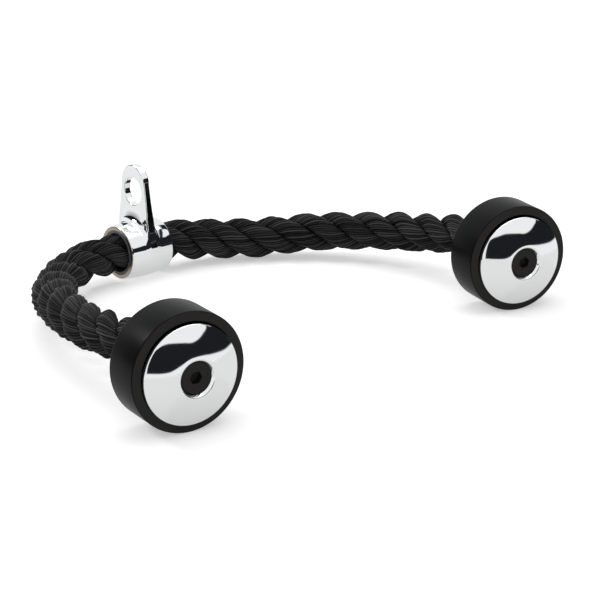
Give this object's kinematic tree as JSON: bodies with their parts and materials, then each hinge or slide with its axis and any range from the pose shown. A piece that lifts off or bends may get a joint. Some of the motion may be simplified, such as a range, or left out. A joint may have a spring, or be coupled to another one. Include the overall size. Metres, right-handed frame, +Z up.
{
  "type": "cable machine rope handle",
  "caption": "Gym rope handle: a thick laid rope through a chromed hanger with an eyelet plate, and a rubber bumper with a domed disc on each end.",
  "frame": {"origin": "on the floor, at the middle of the box round the hanger and both end fittings", "axes": "+X along the hanger's collar, from the left end to the right end; +Z up; both ends point roughly towards -Y"},
  "size_m": [0.4404, 0.3336, 0.0958],
  "materials": {
    "rope": "dull spun yarn",
    "chrome": "mirror",
    "liner": "matte",
    "rubber": "satin side, matte front",
    "black_steel": "black oxide",
    "steel": "zinc plated",
    "tape": "matte"
  },
  "bodies": {
    "rope_core": {"rope_middle": "rope"},
    "liner": {"collar_liner": "liner"},
    "hanger": {"hanger_collar": "chrome", "eyelet_plate": "chrome"},
    "left_arm": {"rope_left": "rope", "bumper_left": "rubber", "cover_disc_left": "chrome", "disc_screw_left": "black_steel", "clamp_washer_left": "steel", "end_ferrule_left": "steel", "rope_end_left": "rope", "whipping_left": "tape"},
    "right_arm": {"rope_right": "rope", "bumper_right": "rubber", "cover_disc_right": "chrome", "disc_screw_right": "black_steel", "clamp_washer_right": "steel", "end_ferrule_right": "steel", "rope_end_right": "rope", "whipping_right": "tape"}
  },
  "joints": [
    {"name": "liner_slide", "type": "slide", "parent": "rope_core", "child": "liner", "axis": [1, 0, 0], "range_m": [-0.006, 0.006]},
    {"name": "hanger_swivel", "type": "hinge", "parent": "liner", "child": "hanger", "pos_m": [-0.00034, 0.14278, 0.024], "axis": [1, 0, 0], "continuous": true},
    {"name": "left_arm_bend", "type": "hinge", "parent": "rope_core", "child": "left_arm", "pos_m": [-0.05135, 0.14278, 0.024], "axis": [0, 0, 1], "range_deg": [-30, 20], "deforming": ["rope_left"]},
    {"name": "right_arm_bend", "type": "hinge", "parent": "rope_core", "child": "right_arm", "pos_m": [0.05065, 0.14278, 0.024], "axis": [0, 0, -1], "range_deg": [-30, 20], "deforming": ["rope_right"]}
  ]
}
